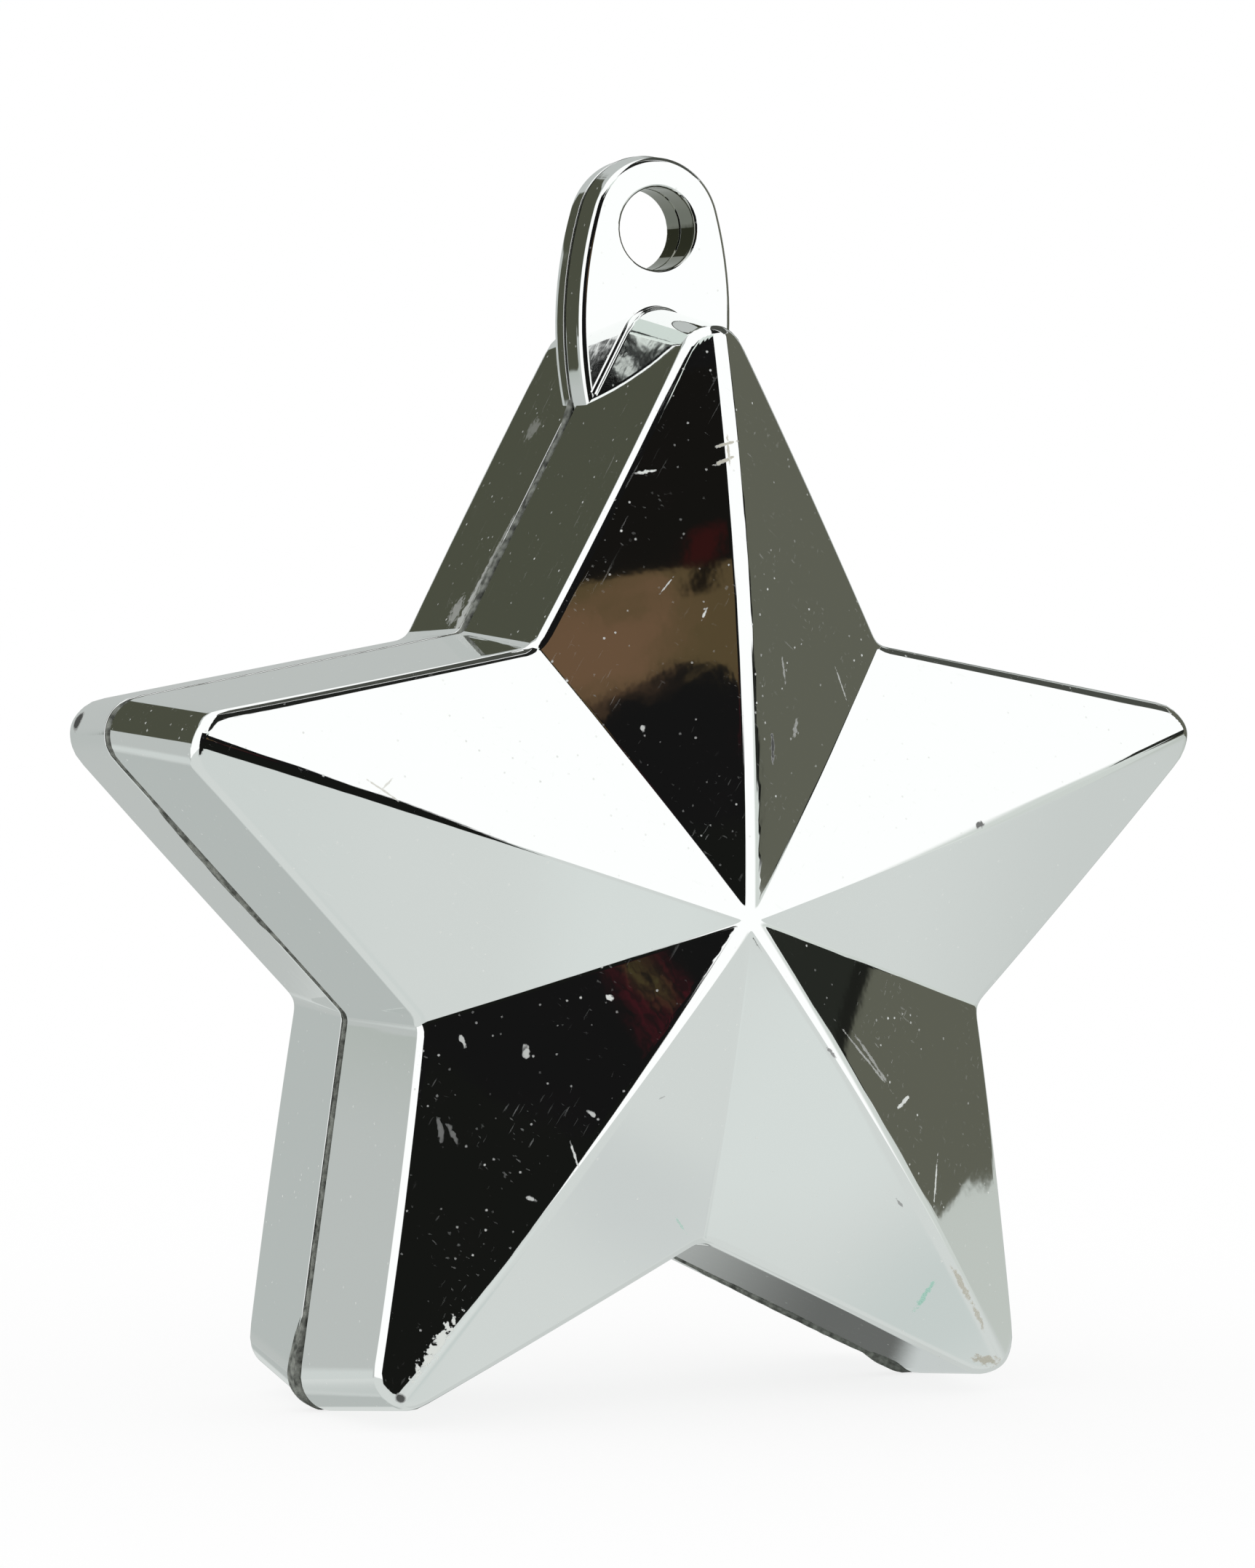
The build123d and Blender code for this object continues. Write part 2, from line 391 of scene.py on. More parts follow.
def tabMesh():
    outline, outward = tabOutline()
    centre = np.array([0, tab["holeHeight"]])
    toRim = outline - centre
    spoke = toRim / np.linalg.norm(toRim, axis=1, keepdims=True)
    top, edge, groove = tab["halfThickness"], tab["edgeRound"], tab["seamHalfWidth"]
    hole, mouth, holeSeam, lip = tab["holeRadius"], tab["mouthRound"], tab["holeSeam"], seam["lip"]
    rings, normals = [], []

    def addRing(flat, z, direction, rise):
        rings.append(np.column_stack([flat, np.full(len(flat), z)]))
        bent = np.column_stack([direction, np.full(len(flat), rise)])
        normals.append(bent / np.linalg.norm(bent, axis=1, keepdims=True))

    seamLow, seamHigh = (holeSeam * share for share in tabRings["seamUp"])
    deepTurn, lipTurn = tabRings["seamTurn"]
    addRing(centre + spoke * (hole + holeSeam), 0.0, -spoke, deepTurn)
    addRing(centre + spoke * hole, seamLow, -spoke, lipTurn)
    for z in (seamHigh, top * tabRings["bore"], top - mouth):
        addRing(centre + spoke * hole, z, -spoke, 0)
    for angle in tabRings["round"]:
        c, s = cosSin(angle)
        addRing(centre + spoke * (hole + mouth * (1 - c)), top - mouth + mouth * s, -spoke * c, s)
    faceRim = outline - outward * (top * tabSlope + edge)
    inner = centre + spoke * (hole + mouth)
    for share in tabRings["face"]:
        addRing(inner + (faceRim - inner) * share, top, spoke * 0, 1)
    for angle in tabRings["edge"]:
        c, s = cosSin(angle)
        drop = edge * (1 - s)
        addRing(faceRim + outward * (edge * c + drop * tabSlope), top - drop, outward * c, s + tabSlope)
    for z in (*(top * share for share in tabRings["side"]), groove + lip):
        addRing(outline - outward * z * tabSlope, z, outward, tabSlope)
    for angle in tabRings["round"]:
        c, s = cosSin(angle)
        addRing(outline - outward * lip * (1 - c), groove + lip * (1 - s), outward * c, -s)
    shaped = len(rings)
    addRing(outline - outward * seam["grooveDepth"], groove, outward * 0, -1)
    addRing(outline - outward * seam["grooveDepth"], 0.0, outward * 0, -1)
    rings, normals = np.array(rings), np.array(normals)
    count, around = rings.shape[:2]
    faces, smooth = [], []
    for r in range(count):
        below = (r + 1) % count
        faces += quads(below, r, around)
        smooth += [0 < below < shaped] * around
    return oneList(rings), oneList(normals), faces, smooth


tabRoot = {
    "spread": 10,            # degrees to either side of the top arm's middle in which the tab's root lies
    "places": 121,           # along the fillet
    "steps": 10,             # round it
    "sunk": 0.2,             # its hidden edge lies inside the plastic
    "range": (30.0, 60.0),   # the root lies between these distances from the star's centre
}


def tabFillet():        # a concave fillet along the line where the tab's face meets the arm's walls
    r, top, steps = tab["rootFillet"], tab["halfThickness"], tabRoot["steps"]
    turns = np.radians(np.linspace(-tabRoot["spread"], tabRoot["spread"], tabRoot["places"]))
    across, along = np.sin(turns), np.cos(turns)
    reach = rootAlong(lambda s: wallDistance(s * across, s * along, top + r) - r, *tabRoot["range"])
    centres = np.column_stack([reach * across, reach * along, np.full_like(turns, top + r)])
    tabSide = sideCentreX + np.sqrt(sideRadius**2 - (centres[:, 1] - sideCentreY) ** 2)
    faceEdge = tabSide - top * tabSlope - tab["edgeRound"] / 2
    centres = centres[np.abs(centres[:, 0]) < faceEdge]
    wallNormal = normalsOf(wallDistance, centres)
    level = np.column_stack([wallNormal[:, :2], np.zeros(len(centres))])
    level /= np.linalg.norm(level, axis=1, keepdims=True)
    upward = np.array([0, 0, 1])
    ring, normals = [], []
    for k in range(steps + 1):      # from the tab's face up to the wall
        turn = np.arccos(wallNormal[:, 2:]) * k / steps
        inward = -np.sin(turn) * level - np.cos(turn) * upward
        ring.append(centres + r * inward)
        normals.append(-inward)
    ring.append(centres - (r + tabRoot["sunk"]) * (level + upward))
    normals.append(np.zeros_like(centres))
    around, count = len(ring), len(centres)
    starts = [k * count for k in range(around)]
    faces = [tuple(starts[::-1]), tuple(k + count - 1 for k in starts)]
    smooth = [False, False]
    for k in range(around):
        n = (k + 1) % around
        for i in range(count - 1):
            faces.append((k * count + i, n * count + i, n * count + i + 1, k * count + i + 1))
            smooth.append(k < steps)
    return oneList(ring), oneList(normals), faces, smooth


def shellHalf(name, front):
    facing = -1 if front else 1
    points, pointNormals, faces, smooth = [], [], [], []
    for partPoints, partNormals, partFaces, partSmooth in (starMesh(front), tabMesh(), tabFillet()):
        start = len(points)
        points += partPoints
        pointNormals += partNormals
        faces += [tuple(start + i for i in face) for face in partFaces]
        smooth += partSmooth
    if not front:       # the back half is a mirror image
        faces = [face[::-1] for face in faces]
    piece = newObject(name, [(x * mm, facing * z * mm, (y + lift) * mm) for x, y, z in points], faces)
    mesh = piece.data
    mesh.polygons.foreach_set("use_smooth", smooth)
    mesh.polygons.foreach_set("material_index", [0 if shiny else 1 for shiny in smooth])
    turned = [(x, facing * z, y) for x, y, z in pointNormals]
    corners = [turned[i] if shiny else (0, 0, 0) for face, shiny in zip(faces, smooth) for i in face]
    mesh.normals_split_custom_set(corners)
    mesh.update()
    return piece


frontShell = shellHalf("frontShellPlated", True)
backShell = shellHalf("backShellPlated", False)
print("shells", len(frontShell.data.vertices), len(backShell.data.vertices))


# The weld: a rough thread of set cement in the groove, close to the back half, squeezed out most at the feet
bead = {
    "recess": 0.15,          # below the plated surface
    "depth": 0.6,
    "front": -0.08,          # both edges lie behind the parting plane, so a dark gap is left in the groove
    "back": -0.54,
    "tabRecess": 0.22,       # deeper again on the tab
    "tabStart": 9.0,         # which starts this far below the arm's sharp point
    "step": 0.3,             # along the seam
    "grain": 1.1,            # size of its lumps
    "finer": 3,              # they are this much smaller across the seam
    "rough": 0.05,
    "clear": 0.02,           # stays above the floor
    "section": [             # side, height and ridges along the seam
        (-1.0, 0.0, 0), (-0.97, 0.6, 0), (-0.7, 1.0, 0.8), (-0.35, 1.0, -0.9), (0.05, 1.0, 1.0),
        (0.45, 1.0, -0.9), (0.8, 1.0, 0.3), (1.0, 0.5, 0), (1.0, 0.0, 0),
    ],
    "squeezed": [            # where it oozed over the back half
        {"at": (-30.0, -37.2), "reach": 5.6, "spread": 1.5, "proud": 0.16},
        {"at": (24.6, -38.4), "reach": 3.4, "spread": 0.7, "proud": 0.45},
        {"at": (15.0, -34.4), "reach": 17.0, "spread": 0.25, "proud": 0.24},
        {"at": (-9.6, 24.0), "reach": 9.0, "spread": 0.55, "proud": 0.08},
        {"at": (-37.0, 3.5), "reach": 9.0, "spread": 0.4, "proud": 0.1},
    ],
}


def seamLoop():         # clockwise from the tab's right foot, round the star, then over the tab
    reach = wallReach(0, 0)
    armReach = np.concatenate([reach[:0:-1], reach[:-1]])
    armAngles = np.concatenate([-angles[:0:-1], angles[:-1]])
    loop = []
    for k in range(star["arms"]):
        loop += [(r * math.sin(t), r * math.cos(t)) for r, t in zip(armReach, armAngles + 2 * sector * k)]
    loop = np.array(loop)
    rise = np.clip(loop[:, 1] - sideCentreY, -sideRadius, sideRadius)
    tabHalf = sideCentreX + np.sqrt(sideRadius**2 - rise**2)
    hidden = np.flatnonzero((loop[:, 1] > tab["rootHeight"]) & (np.abs(loop[:, 0]) < tabHalf))
    overTab = tabOutline()[0][leftFoot::-1]
    overTab = overTab[wallDistance(overTab[:, 0], overTab[:, 1], 0.0) > 0]
    return np.concatenate([loop[hidden[-1] + 1:], loop[:hidden[0]], overTab])


def evenly(loop, step):
    closed = np.concatenate([loop, loop[:1]])
    run = np.concatenate([[0], np.cumsum(np.linalg.norm(np.diff(closed, axis=0), axis=1))])
    places = np.linspace(0, run[-1], int(run[-1] / step), endpoint=False)
    return np.column_stack([np.interp(places, run, closed[:, k]) for k in (0, 1)])


def weldBead():
    line = evenly(seamLoop(), bead["step"])
    ahead = np.roll(line, -1, axis=0) - np.roll(line, 1, axis=0)
    ahead /= np.linalg.norm(ahead, axis=1, keepdims=True)
    outward = np.column_stack([-ahead[:, 1], ahead[:, 0]])
    points, faces = [], []
    for (x, y), (ox, oy) in zip(line, outward):
        ooze, proud = 0.0, 0.0
        for spot in bead["squeezed"]:
            near = max(0.0, 1 - (math.hypot(x - spot["at"][0], y - spot["at"][1]) / spot["reach"])**2)
            ooze = max(ooze, near * spot["spread"])
            proud = max(proud, near * (spot["proud"] + bead["recess"]))
        onTab = y > star["tipReach"] - bead["tabStart"] and abs(x) < tab["halfWidth"]
        recess = bead["recess"] + (bead["tabRecess"] if onTab else 0)
        for side, height, ridge in bead["section"]:
            z = bead["front"] + (bead["back"] - ooze - bead["front"]) * (1 - side) / 2
            lump = ridge + noise.noise(Vector((x, y, bead["finer"] * z)) / bead["grain"])
            surface = -recess - abs(z) * tanDraft + proud * height + bead["rough"] * lump
            out = surface * height - bead["depth"] * (1 - height) if height < 1 else surface
            points.append(((x + ox * out) * mm, -z * mm, max(y + oy * out + lift, bead["clear"]) * mm))
    count = len(bead["section"])
    for i in range(len(line)):
        faces += quads((i + 1) % len(line), i, count)
    piece = newObject("weldThread", points, faces)
    piece.data.polygons.foreach_set("use_smooth", [True] * len(faces))
    piece.data.update()
    return piece


weldThread = weldBead()
print("weld", len(weldThread.data.vertices))


# Wear, and a painted reflection along the back half's lip that is added below, placed on an arm (clockwise
# from the top) by how far along it and beside its ridge, or at x, y and z
wearAndLipReflection = {
    "wornThrough": {"hex": "#b9b6a6", "marks": [     # the plastic under the plating
        {"arm": 0, "place": (37.5, -0.4), "size": (2.2, 0.3), "turn": 78, "amount": 0.9},
        {"arm": 0, "place": (36.1, -0.8), "size": (2.0, 0.35), "turn": 68, "amount": 0.9},
        {"arm": 0, "place": (37.0, -0.3), "size": (2.2, 0.22), "amount": 0.8},
        {"arm": 2, "place": (37.8, 0.15), "size": (4.2, 0.5), "amount": 0.85},
        {"arm": 2, "place": (41.3, 0.15), "size": (2.6, 0.45), "turn": 2, "amount": 0.8},
        {"arm": 2, "place": (45.3, 1.1), "size": (2.4, 1.1), "turn": -45, "amount": 0.9},
        {"arm": 4, "place": (32.4, 0.5), "size": (3.4, 0.2), "turn": -163, "amount": 0.55},
        {"arm": 4, "place": (32.1, 0.9), "size": (2.0, 0.2), "turn": -59, "amount": 0.45},
    ]},
    # pale scuffs and dust, and also the painted reflection along the back half's lip, which is added below
    "paleScuffAndReflection": {"hex": "#dfe3de", "marks": [
        {"arm": 0, "place": (35.2, -6.5), "size": (1.5, 0.3), "turn": 79, "amount": 0.8},
        {"arm": 0, "place": (26.3, -5.6), "size": (1.7, 0.14), "turn": 39, "amount": 0.6},
        {"arm": 0, "place": (24.0, -3.0), "size": (1.1, 0.2), "turn": 25, "amount": 0.8},
        {"arm": 0, "place": (15.0, -7.9), "size": (0.5, 0.4), "amount": 0.6},
        {"arm": 0, "place": (18.3, 10.7), "size": (3.0, 0.16), "turn": 157, "amount": 0.45},
        {"arm": 0, "place": (15.0, 5.2), "size": (1.6, 0.5), "turn": 20, "amount": 0.3},
        {"arm": 0, "place": (19.6, 4.1), "size": (2.4, 0.25), "turn": 174, "amount": 0.3},
        {"arm": 2, "place": (21.5, -3.6), "size": (2.3, 0.35), "turn": -84, "amount": 0.9},
        {"arm": 2, "place": (28.9, -2.5), "size": (4.0, 0.2), "turn": -134, "amount": 0.7},
        {"arm": 2, "place": (15.8, -2.4), "size": (8.5, 0.22), "turn": -9, "amount": 0.35},
        {"arm": 2, "place": (16.4, -2.9), "size": (5.6, 0.3), "turn": -4, "amount": 0.3},
        {"arm": 3, "place": (41.6, 0.4), "size": (4.8, 0.8), "turn": -6, "ragged": 4.5, "amount": 1.0},
        {"arm": 3, "place": (11.5, 5.5), "size": (0.7, 0.4), "turn": -90, "amount": 0.9},
        {"arm": 3, "place": (18.7, 8.2), "size": (1.1, 0.6), "turn": -20, "amount": 0.6},
        {"arm": 3, "place": (27.4, 9.8), "size": (2.6, 0.5), "turn": -42, "amount": 0.16},
        {"arm": 3, "place": (27.1, 9.0), "size": (1.6, 0.4), "turn": -62, "amount": 0.16},
        {"arm": 3, "place": (20.7, 12.4), "size": (1.1, 0.35), "turn": -59, "amount": 0.6},
        {"arm": 3, "place": (19.9, 1.7), "size": (0.9, 0.4), "turn": -90, "amount": 0.6},
        {"arm": 3, "place": (28.0, 1.6), "size": (0.9, 0.35), "turn": -101, "amount": 0.6},
        {"arm": 3, "place": (23.4, 0.8), "size": (2.0, 0.2), "turn": -53, "amount": 0.8},
        {"at": (-6.9, 38.8, -6.4), "size": (1.8, 2.6, 2.2), "amount": 0.16},
        {"at": (-14.9, 23.9, -3.4), "size": (1.8, 2.2, 3.0), "amount": 0.3},
    ]},
    "darkMark": {"hex": "#2b2c2a", "marks": [
        {"arm": 0, "place": (13.4, 2.5), "size": (2.6, 0.36), "amount": 0.95},
        {"arm": 1, "place": (22.8, 0.0), "size": (0.8, 0.6), "turn": 24, "amount": 0.85},
        {"arm": 2, "place": (28.0, 1.4), "size": (1.1, 0.2), "turn": -9, "amount": 0.6},
        {"arm": 2, "place": (13.3, 0.2), "size": (1.0, 0.3), "turn": -8, "amount": 0.7},
        {"arm": 3, "place": (46.2, 0.0), "size": (0.8, 1.1), "ragged": 0.4, "amount": 0.95},
        {"arm": 3, "place": (15.4, -2.7), "size": (0.7, 0.15), "turn": -143, "amount": 0.4},
        {"at": (-44.8, 14.9, -10.8), "size": (1.5, 2.9, 2.0), "ragged": 0.4, "amount": 1.0},    # on the back
    ]},
    "greenTrace": {"hex": "#86cbb4", "marks": [
        {"arm": 2, "place": (36.7, 3.1), "size": (3.0, 0.5), "turn": -119, "amount": 0.7},
        {"arm": 3, "place": (21.7, -12.3), "size": (2.6, 0.22), "turn": -81, "amount": 0.5},
    ]},
}
lipReflection = {       # painted reflection along the back half's lip, bright beside the top arm and more so towards the corner
    "count": 9,
    "at": ((-11.342, 31.0, -0.85), (-0.53, -1.0, -0.05)),       # the first mark, and the step to the next
    "size": ((1.2, 0.6, 2.0), (0, 0.14, 0)),
    "amount": (0.24, 0.035),
    "ragged": 1.4,
}
# each mark is a pale painted reflection on the lip, not a rub
for k in range(lipReflection["count"]):
    at, size = ([first + step * k for first, step in zip(*lipReflection[key])] for key in ("at", "size"))
    amount = lipReflection["amount"][0] + lipReflection["amount"][1] * k
    lipMark = {"at": at, "size": size, "ragged": lipReflection["ragged"], "amount": amount}
    wearAndLipReflection["paleScuffAndReflection"]["marks"].append(lipMark)


def onFace(mark, along=0.0, beside=0.0):        # a point of the front face, in metres
    turn = 2 * sector * mark["arm"]
    a, w = mark["place"][0] + along, mark["place"][1] + beside
    x, y = w * math.cos(turn) + a * math.sin(turn), a * math.cos(turn) - w * math.sin(turn)
    return Vector((x, -float(roofHeight(w, a)), y + lift)) * mm


def markFrame(mark):        # centre and turn of a mark lying on the face
    if "at" in mark:
        x, y, z = mark["at"]
        return Vector((x, -z, y + lift)) * mm, (0, 0, 0)
    turn = math.radians(mark.get("turn", 0))
    centre = onFace(mark)
    length = (onFace(mark, math.cos(turn), math.sin(turn)) - centre).normalized()
    width = (onFace(mark, -math.sin(turn), math.cos(turn)) - centre).normalized()
    up = length.cross(width).normalized()
    return centre, Matrix((length, up.cross(length), up)).transposed().to_euler()


# Vacuum-metallised polystyrene, moulded then plated: a bright mirror, barely rippled, with dust and rubs, a
# painted reflection along the back half's lip, and painted shade inside the ribbon hole
plated = {
    "hex": "#f8faf9",
    "roughness": 0.03,
    "dullRoughness": 0.4,    # added where the plating is dusty or gone, and on the painted reflection along the back half's lip
    "ripple": 1.7,           # mm, the moulding's faint orange peel
    "rippleHeight": 0.3,     # mm
    "rippleStrength": 0.01,
    "smear": 7.0,            # mm, patches that were handled
    "handled": (0.46, 0.62),         # where such a patch begins, and where it is full
    "speck": 0.95,           # mm between specks of dust
    "speckEdge": (0.07, 0.13),       # a speck's size, in shares of that
    "speckChance": (0.36, 0.95),     # each cell draws 0 to 1: none below the first, the most at the second
    "speckMost": 0.95,
    "unhandled": 0.45,       # strength of the dust outside those patches, where inside is 1
    "hairline": (8.0, 0.2),  # mm long and wide, drawn wider than real ones so that they show
    "hairlineTilts": (32, -58),
    "hairlineEdge": (0.76, 0.84),
    "hairlineMost": 0.12,
    "tear": 0.4,             # mm between the teeth of a mark's edge
    "ragged": 2.2,           # how far the teeth reach, where a mark doesn't say
    "markEdge": (0.65, 1.05),        # a mark fades out between these shares of its size
    "markDepth": 1.4,        # mm
    "holeShadeHex": "#8f9186",    # painted shade: the plating is tinted darker inside the ribbon hole
    "holeShadeEdge": (1.02, 1.06),        # shares of the hole's radius
}


def markMasks(tree, place):     # a mask for each kind of wear, with the painted reflection along the back half's lip among the pale scuffs
    torn = addNode(tree, "TexNoise", {"Vector": place, "Scale": 1 / (plated["tear"] * mm), "Detail": 2.0})
    masks = {}
    for kind, look in wearAndLipReflection.items():
        masks[kind] = 0.0
        for mark in look["marks"]:
            centre, turn = markFrame(mark)
            half = [size / 2 * mm for size in (*mark["size"], plated["markDepth"])[:3]]
            reach = addNode(tree, "Mapping", {
                "Vector": place, "Location": centre, "Rotation": turn, "Scale": half}, vector_type="TEXTURE")
            reach = addNode(tree, "VectorMath", {0: reach}, operation="LENGTH").outputs["Value"]
            ragged = mark.get("ragged", plated["ragged"])
            reach = addNode(tree, "Math", {0: torn, 1: ragged, 2: reach}, operation="MULTIPLY_ADD")
            full, gone = (ragged / 2 + edge for edge in plated["markEdge"])
            mask = addNode(tree, "MapRange", {
                "Value": reach, "From Min": full, "From Max": gone, "To Min": mark["amount"], "To Max": 0.0})
            masks[kind] = addNode(tree, "Math", {0: mask, 1: masks[kind]}, operation="MAXIMUM")
    return masks


def dustMask(tree, place):      # specks, most of them where it was handled, and hairlines only there
    smear = addNode(tree, "TexNoise", {
        "Vector": place, "Scale": 1 / (plated["smear"] * mm), "Detail": 4.0, "Roughness": 0.6})
    low, high = plated["handled"]
    handled = addNode(tree, "MapRange", {"Value": smear, "From Min": low, "From Max": high})
    often = addNode(tree, "Math", {
        0: handled, 1: 1 - plated["unhandled"], 2: plated["unhandled"]}, operation="MULTIPLY_ADD")
    cells = addNode(tree, "TexVoronoi", {"Vector": place, "Scale": 1 / (plated["speck"] * mm)})
    low, high = plated["speckEdge"]
    speck = addNode(tree, "MapRange", {
        "Value": cells.outputs["Distance"], "From Min": low, "From Max": high,
        "To Min": 1.0, "To Max": 0.0})
    chance = addNode(tree, "SeparateColor", {0: cells.outputs["Color"]})
    low, high = plated["speckChance"]
    chance = addNode(tree, "MapRange", {
        "Value": chance, "From Min": low, "From Max": high, "To Max": plated["speckMost"]})
    dust = addNode(tree, "Math", {0: speck, 1: chance}, operation="MULTIPLY")
    dust = addNode(tree, "Math", {0: dust, 1: often}, operation="MULTIPLY")
    length, width = plated["hairline"]
    low, high = plated["hairlineEdge"]
    for tilt in plated["hairlineTilts"]:
        along = addNode(tree, "Mapping", {
            "Vector": place, "Rotation": (0, math.radians(tilt), 0),
            "Scale": (length * mm, width * mm, width * mm)}, vector_type="TEXTURE")
        streak = addNode(tree, "TexNoise", {"Vector": along, "Scale": 1.0, "Detail": 0.0})
        line = addNode(tree, "MapRange", {
            "Value": streak, "From Min": low, "From Max": high, "To Max": plated["hairlineMost"]})
        line = addNode(tree, "Math", {0: line, 1: handled}, operation="MULTIPLY")
        dust = addNode(tree, "Math", {0: dust, 1: line}, operation="MAXIMUM")
    return dust


def holeShadeMask(tree, place):      # painted shade, full inside the ribbon hole
    inHole = addNode(tree, "Mapping", {
        "Vector": place, "Location": (0, 0, (tab["holeHeight"] + lift) * mm),
        "Scale": (tab["holeRadius"] * mm, 1.0, tab["holeRadius"] * mm)}, vector_type="TEXTURE")
    reach = addNode(tree, "VectorMath", {0: inHole}, operation="LENGTH").outputs["Value"]
    low, high = plated["holeShadeEdge"]
    return addNode(tree, "MapRange", {
        "Value": reach, "From Min": low, "From Max": high, "To Min": 1.0, "To Max": 0.0})


def mirrorPlating():
    material, tree = newMaterial("vacuumPlatedStyrene")
    place = addNode(tree, "TexCoord").outputs["Object"]
    masks = markMasks(tree, place)
    dust = dustMask(tree, place)
    masks["paleScuffAndReflection"] = addNode(tree, "Math", {0: dust, 1: masks["paleScuffAndReflection"]}, operation="MAXIMUM")
    # the plating's colour, with painted shade inside the ribbon hole
    colour = addNode(tree, "Mix", {
        0: holeShadeMask(tree, place), 6: toLinear(plated["hex"]), 7: toLinear(plated["holeShadeHex"])},
        data_type="RGBA").outputs[2]
    dulled = 0.0
    for kind, look in wearAndLipReflection.items():
        colour = addNode(tree, "Mix", {0: masks[kind], 6: colour, 7: toLinear(look["hex"])},
                         data_type="RGBA").outputs[2]
        dulled = addNode(tree, "Math", {0: masks[kind], 1: dulled}, operation="MAXIMUM")
    metal = addNode(tree, "Math", {0: 1.0, 1: dulled}, operation="SUBTRACT")
    rough = addNode(tree, "Math", {
        0: dulled, 1: plated["dullRoughness"], 2: plated["roughness"]}, operation="MULTIPLY_ADD")
    peel = addNode(tree, "TexNoise", {"Vector": place, "Scale": 1 / (plated["ripple"] * mm), "Detail": 2.0})
    bump = addNode(tree, "Bump", {
        "Height": peel, "Strength": plated["rippleStrength"], "Distance": plated["rippleHeight"] * mm})
    surface = addNode(tree, "BsdfPrincipled", {
        "Base Color": colour, "Metallic": metal, "Roughness": rough, "Normal": bump})
    addNode(tree, "OutputMaterial", {"Surface": surface})
    return material


# Grained matter in two tones: bare styrene inside the shells, its tones darkened as painted shade in the
# seam's groove, set solvent cement, dry sand
grained = {
    # painted shade: the styrene's tones are far darker than the plastic, so that the seam's groove reads dark
    "grooveShadeStyrene": {"tones": ("#34362f", "#4b4d47"), "grain": 1.2, "roughness": 0.5, "height": 0.02},
    "solventCement": {"tones": ("#42453f", "#90948c"), "grain": 0.7, "roughness": 0.45, "height": 0.08},
    "drySand": {"tones": ("#7d6443", "#d9c193"), "grain": 0.5, "roughness": 0.9, "height": 0.3},
}


def grainedMaterial(name, mixed=(0.35, 0.65), bumped=0.6):      # dull and mottled, so light breaks up on it
    look = grained[name]
    material, tree = newMaterial(name)
    place = addNode(tree, "TexCoord").outputs["Object"]
    grain = addNode(tree, "TexNoise", {"Vector": place, "Scale": 1 / (look["grain"] * mm), "Detail": 3.0})
    share = addNode(tree, "MapRange", {"Value": grain, "From Min": mixed[0], "From Max": mixed[1]})
    low, high = (toLinear(tone) for tone in look["tones"])
    colour = addNode(tree, "Mix", {0: share, 6: low, 7: high}, data_type="RGBA").outputs[2]
    bump = addNode(tree, "Bump", {"Height": grain, "Strength": bumped, "Distance": look["height"] * mm})
    surface = addNode(tree, "BsdfPrincipled", {
        "Base Color": colour, "Roughness": look["roughness"], "Normal": bump})
    addNode(tree, "OutputMaterial", {"Surface": surface})
    return material


plating, shadedStyrene = mirrorPlating(), grainedMaterial("grooveShadeStyrene")
for shell, node in ((frontShell, "front_shell"), (backShell, "back_shell")):
    shell.data.materials.append(plating)
    shell.data.materials.append(shadedStyrene)
    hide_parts(node)
    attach(shell, "root")
weldThread.data.materials.append(grainedMaterial("solventCement"))
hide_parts("weld_bead")
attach(weldThread, "root")
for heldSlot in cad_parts["sand_ballast"].material_slots:
    heldSlot.material = grainedMaterial("drySand")
print("finishes", [m.name for m in bpy.data.materials])


